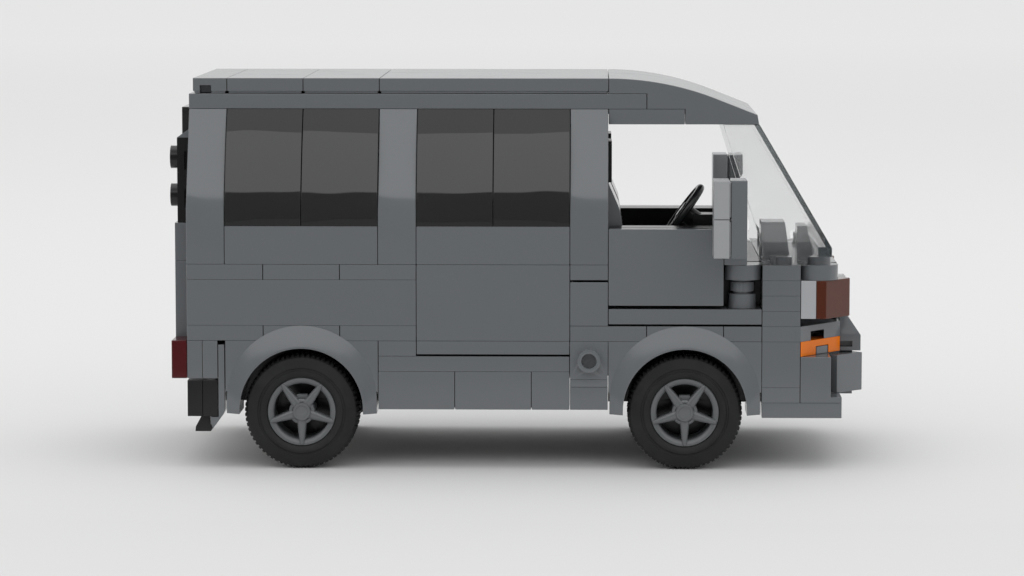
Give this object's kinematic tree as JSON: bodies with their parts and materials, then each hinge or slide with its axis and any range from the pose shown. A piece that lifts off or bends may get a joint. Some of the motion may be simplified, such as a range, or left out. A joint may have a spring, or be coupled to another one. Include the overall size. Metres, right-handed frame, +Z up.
{
  "type": "brick-built toy kei van",
  "caption": "Toy microvan built of interlocking bricks, with dark side panes, an open cab window, a clear windscreen, mirrors and freely rolling wheels.",
  "frame": {"origin": "on the floor, below the middle of the toy's bounding box", "axes": "+X to the nose, +Y to the van's left, +Z up"},
  "size_m": [0.146, 0.092, 0.0813],
  "materials": {
    "amber": "see-through amber plastic",
    "black": "moulded black plastic",
    "body_grey": "moulded plastic, fine gloss",
    "clear": "clear moulded plastic",
    "clear_lamp": "clear moulded plastic",
    "dark_pane": "dark glossy plastic",
    "dark_red": "see-through dark red plastic",
    "light_grey": "light grey plastic",
    "orange": "see-through orange plastic",
    "rim_grey": "moulded grey plastic",
    "silver": "flat silver-grey plastic",
    "tyre_rubber": "matt black rubber"
  },
  "bodies": {
    "van": {"base_plate": "black", "belt_high_plates": "body_grey", "belt_low_plates": "body_grey", "bumper": "body_grey", "bumper_corners": "body_grey", "cowl_plates": "body_grey", "dashboard": "black", "door_linings": "black", "door_posts": "body_grey", "floor_plate": "body_grey", "front_axle_holder": "black", "front_corner_plates": "body_grey", "front_door_panels": "body_grey", "front_door_sills": "body_grey", "fuel_brackets": "body_grey", "fuel_tiles": "body_grey", "headlamp_blocks": "amber", "headlamp_tiles": "light_grey", "headlamps": "clear_lamp", "headrests": "black", "indicators": "orange", "mirror_holders": "body_grey", "mirror_tiles": "silver", "mud_flaps": "body_grey", "nose_bricks": "body_grey", "nose_panel": "body_grey", "nose_plate": "body_grey", "nose_round_plates": "body_grey", "pillars": "body_grey", "quarter_bricks": "body_grey", "rear_axle_holder": "black", "rear_corner_feet": "black", "rear_corner_plates": "body_grey", "rear_stud_bricks": "black", "rear_window": "dark_pane", "roof_front": "body_grey", "roof_front_plates": "body_grey", "roof_rails": "body_grey", "roof_tiles": "body_grey", "seats": "body_grey", "side_rails": "black", "sill_plates": "body_grey", "sill_tiles": "body_grey", "sliding_door_panels": "body_grey", "steering_wheel": "black", "tail_lamps": "dark_red", "tailgate_panels": "body_grey", "under_window_tiles": "body_grey", "valance": "body_grey", "wheel_arches": "body_grey", "window_panes": "dark_pane", "windscreen": "clear"},
    "rear_right_wheel": {"rear_right_rim": "rim_grey", "rear_right_tyre": "tyre_rubber"},
    "rear_left_wheel": {"rear_left_rim": "rim_grey", "rear_left_tyre": "tyre_rubber"},
    "front_right_wheel": {"front_right_rim": "rim_grey", "front_right_tyre": "tyre_rubber"},
    "front_left_wheel": {"front_left_rim": "rim_grey", "front_left_tyre": "tyre_rubber"}
  },
  "joints": [
    {"name": "rear_right_roll", "type": "hinge", "parent": "van", "child": "rear_right_wheel", "pos_m": [-0.04475, -0.0282, 0.012], "axis": [0, 1, 0], "continuous": true},
    {"name": "rear_left_roll", "type": "hinge", "parent": "van", "child": "rear_left_wheel", "pos_m": [-0.04475, 0.0282, 0.012], "axis": [0, 1, 0], "continuous": true},
    {"name": "front_right_roll", "type": "hinge", "parent": "van", "child": "front_right_wheel", "pos_m": [0.03525, -0.0282, 0.012], "axis": [0, 1, 0], "continuous": true},
    {"name": "front_left_roll", "type": "hinge", "parent": "van", "child": "front_left_wheel", "pos_m": [0.03525, 0.0282, 0.012], "axis": [0, 1, 0], "continuous": true}
  ]
}
